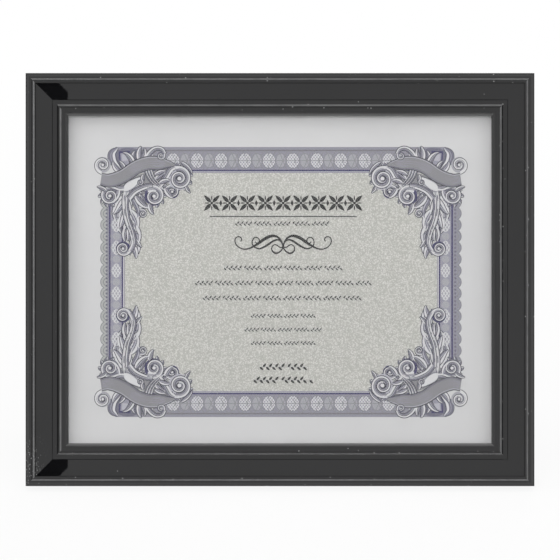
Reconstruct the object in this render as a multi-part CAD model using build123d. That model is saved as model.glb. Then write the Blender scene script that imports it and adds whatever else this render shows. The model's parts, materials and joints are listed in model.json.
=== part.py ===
from build123d import *
import os
from math import atan2, cos, degrees, radians, sin, sqrt, tan

# A certificate frame for one letter-size sheet. Four mitred lengths of black moulding hold a
# glass pane, the printed sheet, a filler card and a backing board. Turn buttons on the rails
# keep the board in. A slanted easel leg on the board stands the frame up either way round, and
# a ring hanger near two of its edges hangs it either way round.
#
# All lengths are in millimetres. The frame is modelled upright: X runs to the right as seen from
# the front, Y runs backwards from the plane of the back rim, and Z runs up from the bottom edge.
# At the end everything leans back on the easel leg, with the table at Z = 0.

# The sheet
sheet_width = 279.4
sheet_height = 215.9
sheet_thickness = 0.25
sheet_shift = 0.6

# The room round the sheet in the rebate
side_slack = 0.9
foot_slack = 0.3
head_slack = 4.0

# The other layers behind the lip, and the gap round their edges
glass_thickness = 2.0
glass_arris = 0.25
air_gap = 0.2
filler_thickness = 1.8
board_thickness = 2.4
layer_clearance = 0.4

# The rail's section: its width, the lip over the glass and the recess behind the board
rail_width = 27.0
lip_width = 5.6
skirt_thickness = 3.0
recess_depth = 4.0

# The moulded front, from the outer edge inwards. A rise is measured from the lip's underside.
outer_ridge_rise = 6.8
outer_cove_drop = 1.35
outer_round_drop = 1.5
outer_round_width = 1.6
outer_round_bulge = 0.35
outer_cove_width = 2.4
outer_cove_bulge = 0.3
outer_ridge_width = 1.0
ridge_bulge = 0.4
scoop_width = 1.6
scoop_drop = 1.5
scoop_bulge = 0.45

# The flat panel takes up what is left of the width, and falls a little inwards
panel_drop = 0.8
groove_width = 0.3
groove_drop = 0.45
bead_width = 2.8
bead_fall = 0.25
bead_bulge = 0.3

# The inner ridge, and the slope from the sight edge up to it
inner_rise_width = 0.8
inner_ridge_width = 1.0
inner_step = 0.5
flute_width = 1.7
flute_drop = 0.8
flute_bulge = 0.16
ovolo_width = 1.5
ovolo_drop = 0.6
ovolo_bulge = 0.14
lip_bevel_width = 2.0
lip_bevel_drop = 2.1
lip_thickness = 0.7

# Bent nails across each mitre
nail_leg = 5.0
nail_thickness = 0.5
nail_depth = 6.0
nail_fit = 0.03
nail_inset = 8.0
nail_pitch = 6.5
nail_count = 2

# Turn buttons and their screws
button_setback = 7.4
button_reach = 14.0
button_tip_radius = 4.0
button_eye_radius = 5.5
button_thickness = 1.0
button_rib_length = 6.5
button_rib_width = 1.6
button_rib_inset = 1.6
button_rib_rise = 0.45
button_gap = 0.1
button_spread = 70.0
button_lift = 40.0
screw_radius = 1.5
screw_running_fit = 0.08
screw_fit = 0.03
screw_length = 8.0
screw_hole_spare = 0.5
screw_head_radius = 3.1
screw_head_height = 1.5
screw_head_taper = 0.9
screw_head_gap = 0.05

# The easel leg: where its hinge lies from the middle of the frame, how it slants and opens
leg_slant = 35.0
leg_opening = 26.0
hinge_offset = 34.0
hinge_lift = 44.5
foot_side_inset = 12.0
foot_bottom_inset = 5.0
leg_thickness = 2.5
leg_gap = 0.2
leg_top_half_width = 20.0
leg_foot_half_width = 27.0
leg_corner_radius = 8.0
leg_setback = 2.3

# The easel hinge: two pressed leaves rolled round a pin, and a tongue that stops the leg
leaf_thickness = 0.6
leaf_setback = 1.9
knuckle_count = 5
knuckle_length = 5.7
knuckle_gap = 0.3
pin_clearance = 0.05
pin_head_rim = 0.4
pin_head_length = 0.5
plate_length = 15.0
plate_corner_radius = 3.0
flap_length = 20.0
flap_half_width = 12.0
flap_corner_radius = 5.0
tongue_gap = 0.05

# Rivets through the leaves and the hanger straps
rivet_radius = 1.4
rivet_fit = 0.03
rivet_head_radius = 2.4
rivet_head_height = 0.5
rivet_head_taper = 0.9
plate_rivet_offset = 8.0
plate_rivet_place = 10.0
flap_rivet_offset = 5.5
flap_rivet_place = 13.0

# Ring hangers: a wire triangle held in a folded strap
hanger_edge_distance = 26.0
strap_width = 8.0
strap_thickness = 0.5
strap_length = 11.0
strap_fold_length = 4.0
strap_corner_radius = 1.6
strap_rivet_place = 7.4
ring_wire_radius = 0.8
ring_wire_sides = 8
ring_clearance = 0.08
ring_half_width = 10.0
ring_height = 17.0
ring_corner_radius = 2.4

# The side ring hangs straight out of the back, because the frame leans back
side_ring_turn = 90.0

# One overrun for every cutting tool
overrun = 1.0

# Printed places are in metres
metre = 1000

# The rebate and the outside follow from the sheet
rebate_width = sheet_width + 2 * side_slack
rebate_height = sheet_height + foot_slack + head_slack
rebate_inset = rail_width - lip_width
frame_width = rebate_width + 2 * rebate_inset
frame_height = rebate_height + 2 * rebate_inset
half_width = frame_width / 2
middle = frame_height / 2

# Heights above the back rim, towards the front
board_front = recess_depth + board_thickness
filler_front = board_front + filler_thickness
sheet_front = filler_front + sheet_thickness
glass_back = sheet_front + air_gap
lip_underside = glass_back + glass_thickness

# The front of the moulding: its highest ridge, and where the plain outer wall ends
ridge_top = lip_underside + outer_ridge_rise
wall_height = ridge_top - outer_cove_drop - outer_round_drop

# The hinge pin fills the height of the shut leg with its flap
pin_height = (leg_gap + leg_thickness + leaf_thickness) / 2
pin_radius = pin_height - leaf_thickness - pin_clearance
leg_inner = leg_gap - pin_height
leg_outer = leg_inner + leg_thickness
hinge_width = knuckle_count * knuckle_length + (knuckle_count - 1) * knuckle_gap

# The tongue strikes the plate when the leg is open
tongue_length = (
    leg_outer * cos(radians(leg_opening)) + pin_height - leaf_thickness - tongue_gap
) / sin(radians(leg_opening))

# The strap is rolled round the ring's lowest wire
strap_bore = ring_wire_radius + ring_clearance
strap_barrel = strap_bore + strap_thickness

# Directions in the frame
right = Vector(1, 0, 0)
back = Vector(0, 1, 0)
up = Vector(0, 0, 1)

# The rails follow one another round the frame: where each starts, which way it runs, how far
rail_runs = {
    "bottom_rail": (Vector(-half_width, 0, 0), right, frame_width),
    "right_rail": (Vector(half_width, 0, 0), up, frame_height),
    "top_rail": (Vector(half_width, 0, frame_height), -right, frame_width),
    "left_rail": (Vector(-half_width, 0, frame_height), -up, frame_height),
}

# The turn buttons: the rail that each is on, and its place along it from the rail's middle
button_places = {
    "turn_button_bottom_left": ("bottom_rail", -button_spread),
    "turn_button_bottom_right": ("bottom_rail", button_spread),
    "turn_button_right": ("right_rail", button_lift),
    "turn_button_top_right": ("top_rail", -button_spread),
    "turn_button_top_left": ("top_rail", button_spread),
    "turn_button_left": ("left_rail", -button_lift),
}


def leg_directions(opening):
    """The leg's own directions at an opening in degrees: down it, across it and outwards."""
    slant = radians(leg_slant)
    turn = radians(opening)
    down = right * sin(slant) - up * cos(slant)
    across = right * cos(slant) + up * sin(slant)
    return down * cos(turn) + back * sin(turn), across, back * cos(turn) - down * sin(turn)


# The foot's tip is placed where it lies with the leg shut, in the lower corner of the recess
hinge_point = Vector(hinge_offset, pin_height - recess_depth, middle + hinge_lift)
shut_down, shut_across, shut_out = leg_directions(0)
foot_reach = Vector(half_width - foot_side_inset, hinge_point.Y, foot_bottom_inset) - hinge_point
foot_along = foot_reach.dot(shut_down)
foot_across = foot_reach.dot(shut_across)

# Where that tip stands with the leg open gives the lean, with the frame either way round
open_down, open_across, open_out = leg_directions(leg_opening)
foot_tip = hinge_point + open_down * foot_along + open_across * foot_across + open_out * leg_inner
lean = degrees(atan2(foot_tip.Z, foot_tip.Y))
portrait_lean = degrees(atan2(half_width - foot_tip.X, foot_tip.Y))
table_up = up - back * tan(radians(lean))
portrait_up = -right - back * tan(radians(portrait_lean))

# The hinge's plane when shut and when open: X across, Y down the leg and Z out of the back
plate_plane = Plane(origin=hinge_point, x_dir=shut_across, z_dir=shut_out)
leg_plane = Plane(origin=hinge_point, x_dir=open_across, z_dir=open_out)

# The hangers' planes: X along the ring's wire, Y along the strap and Z out of the back
hanger_height = strap_barrel - recess_depth
top_hanger_plane = Plane(
    origin=Vector(0, hanger_height, frame_height - hanger_edge_distance), x_dir=right, z_dir=back
)
side_hanger_plane = Plane(
    origin=Vector(hanger_edge_distance - half_width, hanger_height, middle), x_dir=up, z_dir=back
)


def rail_section():
    """The moulding's outline: X in from the outer edge, and Y forwards from the back rim."""
    ridge_start = (outer_round_width + outer_cove_width, ridge_top)
    ridge_end = (ridge_start[0] + outer_ridge_width, ridge_top)
    round_end = (outer_round_width, ridge_top - outer_cove_drop)
    wall_top = (0, wall_height)
    scoop_end = (ridge_end[0] + scoop_width, ridge_top - scoop_drop)
    sight_top = (rail_width, lip_underside + lip_thickness)
    bevel_top = (rail_width - lip_bevel_width, sight_top[1] + lip_bevel_drop)
    ovolo_top = (bevel_top[0] - ovolo_width, bevel_top[1] + ovolo_drop)
    flute_top = (ovolo_top[0] - flute_width, ovolo_top[1] + flute_drop)
    inner_end = (flute_top[0], flute_top[1] + inner_step)
    inner_start = (inner_end[0] - inner_ridge_width, inner_end[1])
    panel_level = scoop_end[1] - panel_drop
    bead_end = (inner_start[0] - inner_rise_width, panel_level - groove_drop - bead_fall)
    bead_start = (bead_end[0] - bead_width, bead_end[1] + bead_fall)
    panel_end = (bead_start[0] - groove_width, panel_level)
    with BuildSketch() as section:
        with BuildLine():
            Polyline(
                wall_top,
                (0, 0),
                (skirt_thickness, 0),
                (skirt_thickness, recess_depth),
                (rebate_inset, recess_depth),
                (rebate_inset, lip_underside),
                (rail_width, lip_underside),
                sight_top,
                bevel_top,
            )
            SagittaArc(bevel_top, ovolo_top, ovolo_bulge)
            SagittaArc(ovolo_top, flute_top, -flute_bulge)
            Line(flute_top, inner_end)
            SagittaArc(inner_end, inner_start, ridge_bulge)
            Line(inner_start, bead_end)
            SagittaArc(bead_end, bead_start, bead_bulge)
            Polyline(bead_start, panel_end, scoop_end)
            SagittaArc(scoop_end, ridge_end, -scoop_bulge)
            SagittaArc(ridge_end, ridge_start, ridge_bulge)
            SagittaArc(ridge_start, round_end, -outer_cove_bulge)
            SagittaArc(round_end, wall_top, outer_round_bulge)
        make_face()
    return section.sketch


def rail(start, along, length):
    """A length of moulding, mitred at both ends."""
    seat = Plane(origin=start, x_dir=along.cross(back), z_dir=along)
    bar = extrude(rail_section(), length)
    bar = split(bar, bisect_by=Plane(origin=(0, 0, 0), z_dir=(-1, 0, 1)), keep=Keep.TOP)
    bar = split(bar, bisect_by=Plane(origin=(0, 0, length), z_dir=(-1, 0, -1)), keep=Keep.TOP)
    return seat * bar


def nail_set(room):
    """The nails at one corner, driven forwards from the seat, grown all round by a clearance."""
    half = nail_thickness / 2 + room
    reach = nail_leg + room
    plan = Polygon(
        (-half, -half), (reach, -half), (reach, half), (half, half), (half, reach), (-half, reach),
        align=None,
    )
    nail = extrude(plan, nail_depth + room)
    places = [nail_inset + number * nail_pitch for number in range(nail_count)]
    return [Pos(place, place, 0) * nail for place in places]


def mitre_nails(room):
    """The nails at all four corners."""
    nails = []
    for start, along, _ in rail_runs.values():
        corner = Plane(origin=start - back * recess_depth, x_dir=along, z_dir=-back)
        nails += [corner * nail for nail in nail_set(room)]
    return nails


def layer(width, height, thickness, front, centre_x, bottom):
    """A flat layer in the rebate, whose front lies at a height above the back rim."""
    place = Pos(centre_x, thickness / 2 - front, bottom + height / 2)
    return place * Box(width, thickness, height)


def rebate_layer(thickness, front):
    """A layer that fills the rebate, but for the clearance round it."""
    width = rebate_width - 2 * layer_clearance
    height = rebate_height - 2 * layer_clearance
    return layer(width, height, thickness, front, 0, rebate_inset + layer_clearance)


def glass_pane():
    """The pane, with its sharp edges taken off."""
    pane = rebate_layer(glass_thickness, lip_underside)
    return chamfer(pane.edges(), glass_arris)


def certificate_sheet():
    """The printed sheet, a little off centre in the rebate."""
    bottom = rebate_inset + foot_slack
    return layer(sheet_width, sheet_height, sheet_thickness, sheet_front, sheet_shift, bottom)


def rivet(stack):
    """A rivet through a stack: its low head stands on the top and it ends flush below."""
    half = Polygon(
        (0, rivet_head_height),
        (0, -stack),
        (rivet_radius, -stack),
        (rivet_radius, 0),
        (rivet_head_radius, 0),
        (rivet_head_radius - rivet_head_taper, rivet_head_height),
        align=None,
    )
    return revolve(Plane.XZ * half, Axis.Z)


def rivet_hole(stack):
    """The hole for a rivet through its stack."""
    return Pos(0, 0, -stack / 2) * Cylinder(rivet_radius + rivet_fit, stack + 2 * overrun)


def plate_rivet_places():
    """Where the rivets' heads sit on the hinge plate."""
    top = leaf_thickness - pin_height
    return [
        plate_plane * Pos(side * plate_rivet_offset, -plate_rivet_place, top) for side in (-1, 1)
    ]


def flap_rivet_places():
    """Where the rivets' heads sit on the hinge flap."""
    top = leg_outer + leaf_thickness
    return [leg_plane * Pos(side * flap_rivet_offset, flap_rivet_place, top) for side in (-1, 1)]


def strap_rivet_place_on(plane):
    """Where the rivet's head sits on a hanger's strap."""
    return plane * Pos(0, strap_rivet_place, 2 * strap_thickness - strap_barrel)


plate_stack = leaf_thickness + board_thickness
flap_stack = leaf_thickness + leg_thickness
strap_stack = 2 * strap_thickness + board_thickness


def backing_board():
    """The hardboard back, drilled for its rivets."""
    board = rebate_layer(board_thickness, board_front)
    for place in plate_rivet_places():
        board -= place * rivet_hole(plate_stack)
    for plane in (top_hanger_plane, side_hanger_plane):
        board -= strap_rivet_place_on(plane) * rivet_hole(strap_stack)
    return board


def knuckle_centre(number):
    """How far along the pin a knuckle lies."""
    return (number - (knuckle_count - 1) / 2) * (knuckle_length + knuckle_gap)


def strip(start, end, level):
    """A strip of a leaf seen from the side, from one place down the leg to another."""
    place = Pos((start + end) / 2, level)
    return place * Rectangle(abs(end - start), leaf_thickness)


def across_pin(profile, number):
    """A side profile, drawn down the leg and outwards, made as long as one knuckle."""
    start = knuckle_centre(number) - knuckle_length / 2
    side_plane = Plane(origin=(start, 0, 0), x_dir=(0, 1, 0), z_dir=(1, 0, 0))
    return side_plane * extrude(profile, knuckle_length)


def rolled_end(number, side):
    """A knuckle, and the strip that joins it to its leaf, on one side of the pin."""
    level = side * (pin_height - leaf_thickness / 2)
    roll = Circle(pin_height) + strip(0, side * (leaf_setback + overrun), level)
    return across_pin(roll - Circle(pin_radius + pin_clearance), number)


def leaf(half_span, length, corner_radius):
    """A leaf's flat panel, rounded at the corners away from the pin."""
    panel = Polygon(
        (-half_span, leaf_setback), (half_span, leaf_setback), (half_span, length), (-half_span, length),
        align=None,
    )
    far = panel.vertices().sort_by(Axis.Y)[-2:]
    return extrude(fillet(far, corner_radius), leaf_thickness)


def hinge_plate():
    """The leaf on the board, with a knuckle at each end of the pin."""
    panel = leaf(hinge_width / 2, plate_length, plate_corner_radius)
    plate = mirror(panel, Plane.XZ)
    plate = Pos(0, 0, -pin_height) * plate
    for number in (0, knuckle_count - 1):
        plate += rolled_end(number, -1)
    plate = plate_plane * plate
    for place in plate_rivet_places():
        plate -= place * rivet_hole(plate_stack)
    return plate


def hinge_flap():
    """The leaf on the leg, with its knuckles and the tongue that reaches over the pin."""
    flap = Pos(0, 0, leg_outer) * leaf(flap_half_width, flap_length, flap_corner_radius)
    for number in range(1, knuckle_count - 1):
        if 2 * number == knuckle_count - 1:
            level = leg_outer + leaf_thickness / 2
            flap += across_pin(strip(-tongue_length, leaf_setback + overrun, level), number)
        else:
            flap += rolled_end(number, 1)
    flap = leg_plane * flap
    for place in flap_rivet_places():
        flap -= place * rivet_hole(flap_stack)
    return flap


def hinge_pin():
    """The pin, headed at both ends."""
    length = hinge_width + 2 * knuckle_gap
    head = Cylinder(pin_radius + pin_head_rim, pin_head_length)
    pin = Cylinder(pin_radius, length)
    for side in (-1, 1):
        pin += Pos(0, 0, side * (length + pin_head_length) / 2) * head
    return plate_plane * (Rot(0, 90, 0) * pin)


def crossing(start, heading, other_start, other_heading):
    """Where two lines in the leg's plane meet."""
    gap = other_start - start
    top = gap.X * other_heading.Y - gap.Y * other_heading.X
    return start + heading * (top / (heading.X * other_heading.Y - heading.Y * other_heading.X))


def foot_heading(upwards):
    """The way that the foot's edge runs across the leg, level with a table, in the leg's plane."""
    return Vector(-upwards.dot(open_down), upwards.dot(open_across), 0)


def easel_leg():
    """The leg: a tapered board whose foot is cut level with the table for either way round."""
    tip = Vector(foot_across, foot_along, 0)
    corners = [(-leg_top_half_width, leg_setback), (leg_top_half_width, leg_setback)]
    for side, upwards in ((1, portrait_up), (-1, table_up)):
        shoulder = Vector(side * leg_top_half_width, leg_setback, 0)
        edge = Vector(side * leg_foot_half_width, foot_along, 0) - shoulder
        corner = crossing(tip, foot_heading(upwards), shoulder, edge)
        corners += [(corner.X, corner.Y)] + ([(tip.X, tip.Y)] if side == 1 else [])
    outline = Polygon(*corners, align=None)
    shoulders = outline.vertices().sort_by(Axis.Y)[:2]
    leg = extrude(fillet(shoulders, leg_corner_radius), leg_thickness)
    leg = leg_plane * (Pos(0, 0, leg_inner) * leg)
    for place in flap_rivet_places():
        leg -= place * rivet_hole(flap_stack)
    return leg


def button_place(rail_name, from_middle):
    """A turn button's place: X towards the board and Z out of the back, on the rail's seat."""
    start, along, length = rail_runs[rail_name]
    inward = along.cross(back)
    pivot = start + along * (length / 2 + from_middle) + inward * (rebate_inset - button_setback)
    return Plane(origin=pivot - back * recess_depth, x_dir=inward, z_dir=back)


def turn_button():
    """A pressed button: a round eye, a narrower tip over the board and a stiffening rib."""
    tip_centre = button_reach - button_tip_radius
    eye = Circle(button_eye_radius)
    plan = make_hull(eye.edges() + (Pos(tip_centre, 0) * Circle(button_tip_radius)).edges())
    blank = extrude(plan, button_thickness)
    rib_centre = button_reach - button_rib_inset - button_rib_length / 2
    rib = Box(button_rib_length, button_rib_width, button_rib_rise)
    button = blank + Pos(rib_centre, 0, button_thickness + button_rib_rise / 2) * rib
    button -= Cylinder(screw_radius + screw_running_fit, 2 * button_thickness + 2 * overrun)
    return Pos(0, 0, button_gap) * button


def screw_head_seat():
    """How high above the rail's seat a screw's head sits."""
    return button_gap + button_thickness + screw_head_gap


def turn_button_screw():
    """A pan-head screw, seen from the seat that it is driven into."""
    half = Polygon(
        (0, screw_head_height),
        (0, -screw_length),
        (screw_radius, -screw_length),
        (screw_radius, 0),
        (screw_head_radius, 0),
        (screw_head_radius - screw_head_taper, screw_head_height),
        align=None,
    )
    return Pos(0, 0, screw_head_seat()) * revolve(Plane.XZ * half, Axis.Z)


def screw_hole():
    """The hole for a screw in a rail."""
    depth = screw_length - screw_head_seat() + screw_hole_spare
    tool = Cylinder(screw_radius + screw_fit, depth + overrun)
    return Pos(0, 0, (overrun - depth) / 2) * tool


def tangent_point(centre, radius, point):
    """The upper point where a line from a point touches a circle, in a side profile."""
    gap = centre - point
    distance = sqrt(gap.X**2 + gap.Y**2)
    reach = sqrt(distance**2 - radius**2)
    swing = atan2(gap.Y, gap.X) - atan2(radius, reach)
    return point + Vector(cos(swing), sin(swing), 0) * reach


def fold_outline(radius, end):
    """The outline of a strap's fold: a circle drawn out to where its two layers meet."""
    touch = tangent_point(Vector(0, 0, 0), radius, Vector(*end, 0))
    wedge = Polygon((0, -radius), end, (touch.X, touch.Y), (0, 0), align=None)
    return Circle(radius) + wedge


def hanger_strap(plane):
    """A strip folded round the ring's wire, its two layers held down by one rivet."""
    floor = -strap_barrel
    flat = Polygon(
        (0, floor),
        (strap_length, floor),
        (strap_length, floor + 2 * strap_thickness),
        (strap_fold_length, floor + 2 * strap_thickness),
        (0, floor + 2 * strap_thickness),
        align=None,
    )
    outside = flat + fold_outline(strap_barrel, (strap_fold_length, floor + 2 * strap_thickness))
    profile = outside - fold_outline(strap_bore, (strap_fold_length, floor + strap_thickness))
    side_plane = Plane(origin=(-strap_width / 2, 0, 0), x_dir=(0, 1, 0), z_dir=(1, 0, 0))
    strap = side_plane * extrude(profile, strap_width)
    ends = strap.edges().filter_by(Axis.Z).group_by(Axis.Y)[-1]
    strap = plane * fillet(ends, strap_corner_radius)
    return strap - strap_rivet_place_on(plane) * rivet_hole(strap_stack)


def hanger_ring(plane, turn):
    """A wire triangle whose base runs through the strap, swung out by a turn in degrees."""
    path = FilletPolyline(
        (ring_half_width, 0), (0, ring_height), (-ring_half_width, 0),
        radius=ring_corner_radius,
        close=True,
    )
    start = Plane(origin=path @ 0, z_dir=path % 0)
    wire = RegularPolygon(ring_wire_radius, ring_wire_sides)
    ring = sweep(start * wire, path=path)
    return plane * (Rot(turn, 0, 0) * ring)


def group(pieces):
    """Separate solids that share one name."""
    return Compound([solid for piece in pieces for solid in piece.solids()])


def assembly():
    """Every piece by name, with the frame upright."""
    nail_slots = mitre_nails(nail_fit)
    buttons = {name: button_place(*place) for name, place in button_places.items()}
    pieces = {}
    for name, run in rail_runs.items():
        piece = rail(*run)
        for slot in nail_slots:
            piece -= slot
        for button_name, plane in buttons.items():
            if button_places[button_name][0] == name:
                piece -= plane * screw_hole()
        pieces[name] = piece
    pieces["mitre_nails"] = group(mitre_nails(0))
    pieces["glass_pane"] = glass_pane()
    pieces["certificate_sheet"] = certificate_sheet()
    pieces["filler_card"] = rebate_layer(filler_thickness, filler_front)
    pieces["backing_board"] = backing_board()
    for name, plane in buttons.items():
        pieces[name] = plane * turn_button()
    pieces["turn_button_screws"] = group(plane * turn_button_screw() for plane in buttons.values())
    pieces["easel_leg"] = easel_leg()
    pieces["hinge_plate"] = hinge_plate()
    pieces["hinge_flap"] = hinge_flap()
    pieces["hinge_pin"] = hinge_pin()
    pieces["plate_rivets"] = group(place * rivet(plate_stack) for place in plate_rivet_places())
    pieces["flap_rivets"] = group(place * rivet(flap_stack) for place in flap_rivet_places())
    hangers = {"top": (top_hanger_plane, lean), "side": (side_hanger_plane, side_ring_turn)}
    for name, (plane, turn) in hangers.items():
        pieces[name + "_hanger_strap"] = hanger_strap(plane)
        pieces[name + "_hanger_ring"] = hanger_ring(plane, turn)
        pieces[name + "_hanger_rivet"] = strap_rivet_place_on(plane) * rivet(strap_stack)
    return pieces


def stand(pieces):
    """The turn and shift that stand the frame on its leg, centred over the table's origin."""
    leaning = Rot(-lean, 0, 0)
    box = (leaning * group(pieces.values())).bounding_box()
    return Pos(0, -(box.min.Y + box.max.Y) / 2, -box.min.Z) * leaning


pieces = assembly()
standing = stand(pieces)
os.makedirs("parts", exist_ok=True)
for name, piece in pieces.items():
    export_step(standing * piece, "parts/" + name + ".step")


def told(name, point, heading):
    """Print where a joint or a face lies once the frame stands, in metres."""
    place = Axis(standing * Location(Plane(origin=point, z_dir=heading)))
    position = [round(value / metre, 6) for value in place.position]
    print(name, position, [round(value, 6) for value in place.direction])


told("easel_leg", hinge_point, shut_across)
for name, place in button_places.items():
    told(name, button_place(*place).origin, back)
told("top_hanger_ring", top_hanger_plane.origin, right)
told("side_hanger_ring", side_hanger_plane.origin, up)
told("bottom face", -back * (wall_height / 2), -up)
told("right face", right * half_width - back * (wall_height / 2) + up * middle, right)
print("lean", lean, "portrait lean", portrait_lean, "outer wall", wall_height)
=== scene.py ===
import bmesh
import bpy
import json
from math import atan2, cos, degrees, exp, pi, radians, sin, tan
from mathutils import Matrix, Vector


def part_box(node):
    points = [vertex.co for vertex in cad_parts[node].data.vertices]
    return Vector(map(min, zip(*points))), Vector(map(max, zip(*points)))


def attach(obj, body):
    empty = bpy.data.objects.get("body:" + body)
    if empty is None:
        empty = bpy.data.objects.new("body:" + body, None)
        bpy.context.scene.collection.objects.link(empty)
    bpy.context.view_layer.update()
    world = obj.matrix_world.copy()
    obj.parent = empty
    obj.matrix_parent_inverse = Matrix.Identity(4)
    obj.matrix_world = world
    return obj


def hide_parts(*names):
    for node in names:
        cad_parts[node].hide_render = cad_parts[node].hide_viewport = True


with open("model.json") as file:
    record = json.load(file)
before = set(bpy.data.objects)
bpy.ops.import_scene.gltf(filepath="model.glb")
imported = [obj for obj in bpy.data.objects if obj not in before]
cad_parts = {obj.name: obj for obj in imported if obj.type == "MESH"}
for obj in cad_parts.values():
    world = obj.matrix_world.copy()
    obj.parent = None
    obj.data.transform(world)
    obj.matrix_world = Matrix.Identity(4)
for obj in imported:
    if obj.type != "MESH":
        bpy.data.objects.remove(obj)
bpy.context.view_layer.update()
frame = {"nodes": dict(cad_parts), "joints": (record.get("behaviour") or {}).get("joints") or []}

# A certificate frame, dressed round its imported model. Sizes of the frame, its print and its small
# hardware are in millimetres, and places on the certificate run from the middle of the sheet: X to
# the right, Y up the sheet, Z out towards the glass. The camera, lamps, card and floor, and the
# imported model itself, are in metres.

mm = 0.001

# The face's own directions follow from the turn buttons, which turn about its normal
joints = {joint["name"]: joint for joint in frame["joints"]}
face_back = Vector(joints["turn_button_left_turn"]["axis"]).normalized()
face_front = -face_back
face_right = Vector((1, 0, 0))
face_up = face_front.cross(face_right)
face_turn = Matrix((face_right, face_up, face_front)).transposed()

# The frame's outside, and its ridges and slopes measured in from the outer edge
outside_width = 324.0
outside_height = 263.0
rail_width = 27.0
outer_crest = 4.5
inner_crest = 21.3
lip_bevel = 2.0

# How far in front of the glass's middle the moulded front starts
front_starts = 3.5

# How far inwards of each rail's two ridges lie the grey lines painted on it as highlights
crest_highlight_shifts = {"top": (-0.4, -0.8), "bottom": (-0.3, -0.8), "left": (0.9, 0.9), "right": (0.2, 0.1)}

# Dust at the foot of the left rail thickens from the first height and inset to the second
dust_heights = (-98.0, -112.0)
dust_insets = (13.0, 4.0)

# The certificate: its printed border, half its size each way, how far that stands above the
# sheet's middle, the width of its bands, and how far the ground laps under them
sheet_thickness = 0.25
border_half_width = 115.3
border_half_height = 86.3
band_lift = 0.3
top_band = 16.7
side_band = 15.6
ground_lap = 0.5

# How far right of the sheet's middle the print inside the border stands
print_centre = 1.4

# The turn buttons' screws, and the wire of the hanger rings
screw_radius = 1.5
screw_length = 8.0
screw_tip = 2.2
screw_head_radius = 3.1
screw_head_height = 1.5
screw_rim = 0.35
screw_shoulder = 0.75
screw_slot_width = 0.7
screw_slot_reach = 1.7
screw_slot_depth = 1.1
screw_slot_taper = 0.7
screw_drive_angle = 37
ring_wire_radius = 0.8
ring_half_width = 10.0
ring_height = 17.0
ring_corner_radius = 2.4

# Ink lies in numbered layers, one over another, in the air gap between the sheet and the glass.
# A stroke in relief fills three of them.
layer_step = 0.006
relief = 3
ground_layer = 1
band_layer = 2
corner_layer = 6
middle_layer = 2


def mid(node):
    """The middle of a node's box."""
    low, high = (Vector(corner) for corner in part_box(node))
    return (low + high) / 2


frame_middle = mid("glass_pane")
sheet_middle = mid("certificate_sheet") + face_front * sheet_thickness / 2 * mm
sheet_place = Matrix.Translation(sheet_middle) @ face_turn.to_4x4() @ Matrix.Scale(mm, 4)


# Materials


def feed(tree, socket, value):
    """Link a socket to another node's output, or set it to a value."""
    if isinstance(value, bpy.types.NodeSocket):
        tree.links.new(value, socket)
    else:
        socket.default_value = value


def add(tree, kind, settings=(), **inputs):
    """A node with its settings and inputs, which are values or other nodes' outputs."""
    made = tree.nodes.new("ShaderNode" + kind)
    for name, value in dict(settings).items():
        setattr(made, name, value)
    for name, value in inputs.items():
        feed(tree, made.inputs[name.replace("_", " ")], value)
    return made


def new_material(name, **values):
    """A material with its Principled shader, and the shader's plain values set."""
    made = bpy.data.materials.new(name)
    made.use_nodes = True
    shader = made.node_tree.nodes["Principled BSDF"]
    for socket, value in values.items():
        shader.inputs[socket.replace("_", " ")].default_value = value
    return made, made.node_tree, shader


def grey(level, blue=0.0):
    """A grey of one level, a little bluer where asked."""
    return (level, level, level + blue, 1)


def place_on_piece(tree):
    """Object coordinates."""
    return add(tree, "TexCoord").outputs["Object"]


def face_place(tree):
    """Object coordinates in millimetres, across, up and out of the frame's face."""
    return add(
        tree, "Mapping", {"vector_type": "TEXTURE"}, Vector=place_on_piece(tree),
        Location=frame_middle, Rotation=face_turn.to_euler(), Scale=(mm, mm, mm),
    ).outputs["Vector"]


def stretched(tree, vector, scale):
    """A vector scaled along each of its own directions."""
    return add(tree, "Mapping", Vector=vector, Scale=scale).outputs["Vector"]


def noise(tree, vector, scale, detail=3, roughness=0.5):
    """The value of a noise texture."""
    return add(
        tree, "TexNoise", Vector=vector, Scale=scale, Detail=detail, Roughness=roughness
    ).outputs["Fac"]


def band(tree, value, low, high, out_low=0.0, out_high=1.0):
    """A value stretched between two limits, and kept within them."""
    return add(
        tree, "MapRange", {"clamp": True}, Value=value, From_Min=low, From_Max=high,
        To_Min=out_low, To_Max=out_high,
    ).outputs["Result"]


def blend(tree, share, first, second):
    """One colour mixed into another by a share."""
    made = tree.nodes.new("ShaderNodeMix")
    made.data_type = "RGBA"
    for number, value in ((0, share), (6, first), (7, second)):
        feed(tree, made.inputs[number], value)
    return made.outputs[2]


def maths(tree, operation, first, second=0.0):
    """A sum on one or two values."""
    made = tree.nodes.new("ShaderNodeMath")
    made.operation = operation
    feed(tree, made.inputs[0], first)
    feed(tree, made.inputs[1], second)
    return made.outputs[0]


def product(tree, *values):
    """Several values multiplied."""
    result = values[0]
    for value in values[1:]:
        result = maths(tree, "MULTIPLY", result, value)
    return result


def raised(tree, shader, height, distance, strength):
    """Bump from a height, onto the shader."""
    bump = add(tree, "Bump", Height=height, Distance=distance, Strength=strength)
    tree.links.new(bump.outputs["Normal"], shader.inputs["Normal"])


def specks(tree, vector, scale, share, size):
    """Small spots, on a share of the cells of a pattern."""
    core, certain = 0.5, 0.8
    cells = add(tree, "TexVoronoi", Vector=vector, Scale=scale, Randomness=1.0)
    near = band(tree, cells.outputs["Distance"], size * core, size, 1.0, 0.0)
    chosen = add(tree, "SeparateColor", Color=cells.outputs["Color"]).outputs[0]
    return product(tree, near, band(tree, chosen, 1 - share, 1 - share * certain))


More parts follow.
